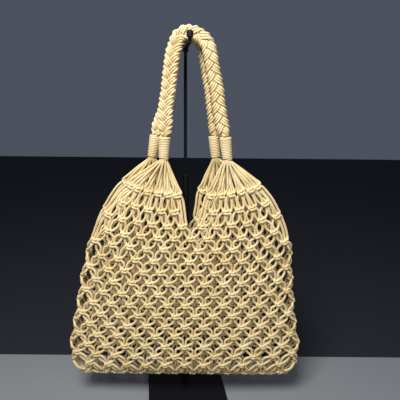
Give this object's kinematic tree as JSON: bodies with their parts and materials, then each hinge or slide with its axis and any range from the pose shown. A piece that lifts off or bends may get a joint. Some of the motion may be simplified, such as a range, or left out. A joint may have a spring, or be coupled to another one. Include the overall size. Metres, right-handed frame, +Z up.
{
  "type": "woven tote bag on a display stand",
  "caption": "Open tote bag of knotted cord net with braided shoulder handles, hung by its handles on the arm of a plain black display stand.",
  "frame": {"origin": "on the stand's underside, under the pole", "axes": "+Z up along the pole, +X to the right across the bag's face, +Y from the bag's front to its rear"},
  "size_m": [0.3656, 0.1649, 0.571],
  "materials": {
    "cord": "smooth round cord, light tan, matt with a slight sheen",
    "braid_cord": "the same cord, braided and wound",
    "black_metal": "satin black paint",
    "black_cap": "plain black, matt"
  },
  "bodies": {
    "root": {"net_body": "cord", "handle_front": "braid_cord", "handle_rear": "braid_cord", "whipping_front_left": "braid_cord", "whipping_front_right": "braid_cord", "whipping_rear_left": "braid_cord", "whipping_rear_right": "braid_cord", "stand_base": "black_metal", "stand_tube": "black_metal", "stand_rod": "black_metal", "stand_collar": "black_metal", "stand_arm": "black_metal", "arm_cap": "black_cap"}
  },
  "joints": []
}
